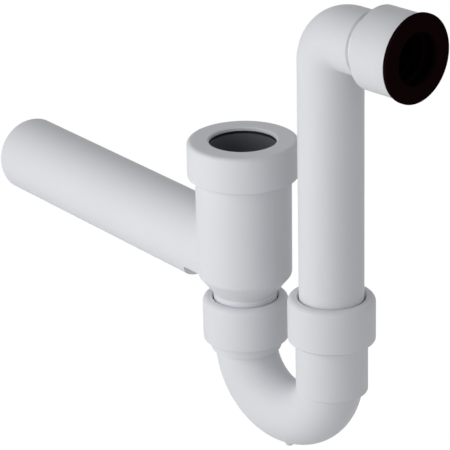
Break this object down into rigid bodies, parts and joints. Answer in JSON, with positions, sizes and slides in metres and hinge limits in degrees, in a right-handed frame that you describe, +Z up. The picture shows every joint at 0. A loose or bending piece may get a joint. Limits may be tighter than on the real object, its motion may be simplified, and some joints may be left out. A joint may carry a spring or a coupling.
{
  "type": "condensate trap",
  "caption": "Condensate trap in light grey plastic: upright body with a long side outlet, a swivelling U bend pushed on below, and a tall inlet pipe with an elbow and rubber connector.",
  "frame": {"origin": "centre of the outlet pipe's open end; the mount's straight wall starts one bevel further in", "axes": "+X along the outlet pipe towards the body, +Z up along the body's axis, +Y to the left of +X"},
  "size_m": [0.386, 0.0776, 0.3094],
  "materials": {
    "light_grey_plastic": "matte, lightly pebbled",
    "black_rubber": "matte",
    "dark_grey_rubber": "matte"
  },
  "bodies": {
    "outlet": {"outlet_body": "light_grey_plastic", "top_connector": "dark_grey_rubber"},
    "body_seal": {"body_socket_seal": "black_rubber"},
    "bend": {"trap_bend": "light_grey_plastic"},
    "inlet_seal": {"inlet_socket_seal": "black_rubber"},
    "inlet": {"inlet_pipe": "light_grey_plastic", "elbow_connector": "black_rubber"}
  },
  "joints": [
    {"name": "bend_pull", "type": "slide", "parent": "outlet", "child": "body_seal", "axis": [0, 0, -1], "range_m": [0, 0.03]},
    {"name": "bend_swivel", "type": "hinge", "parent": "body_seal", "child": "bend", "pos_m": [0.24, 0, 0], "axis": [0, 0, 1], "range_deg": [-140.5, 127.5]},
    {"name": "inlet_swivel", "type": "hinge", "parent": "bend", "child": "inlet_seal", "pos_m": [0.31452, 0.00849, 0], "axis": [0, 0, 1], "continuous": true},
    {"name": "inlet_height", "type": "slide", "parent": "inlet_seal", "child": "inlet", "axis": [0, 0, 1], "range_m": [-0.014, 0.016]}
  ]
}
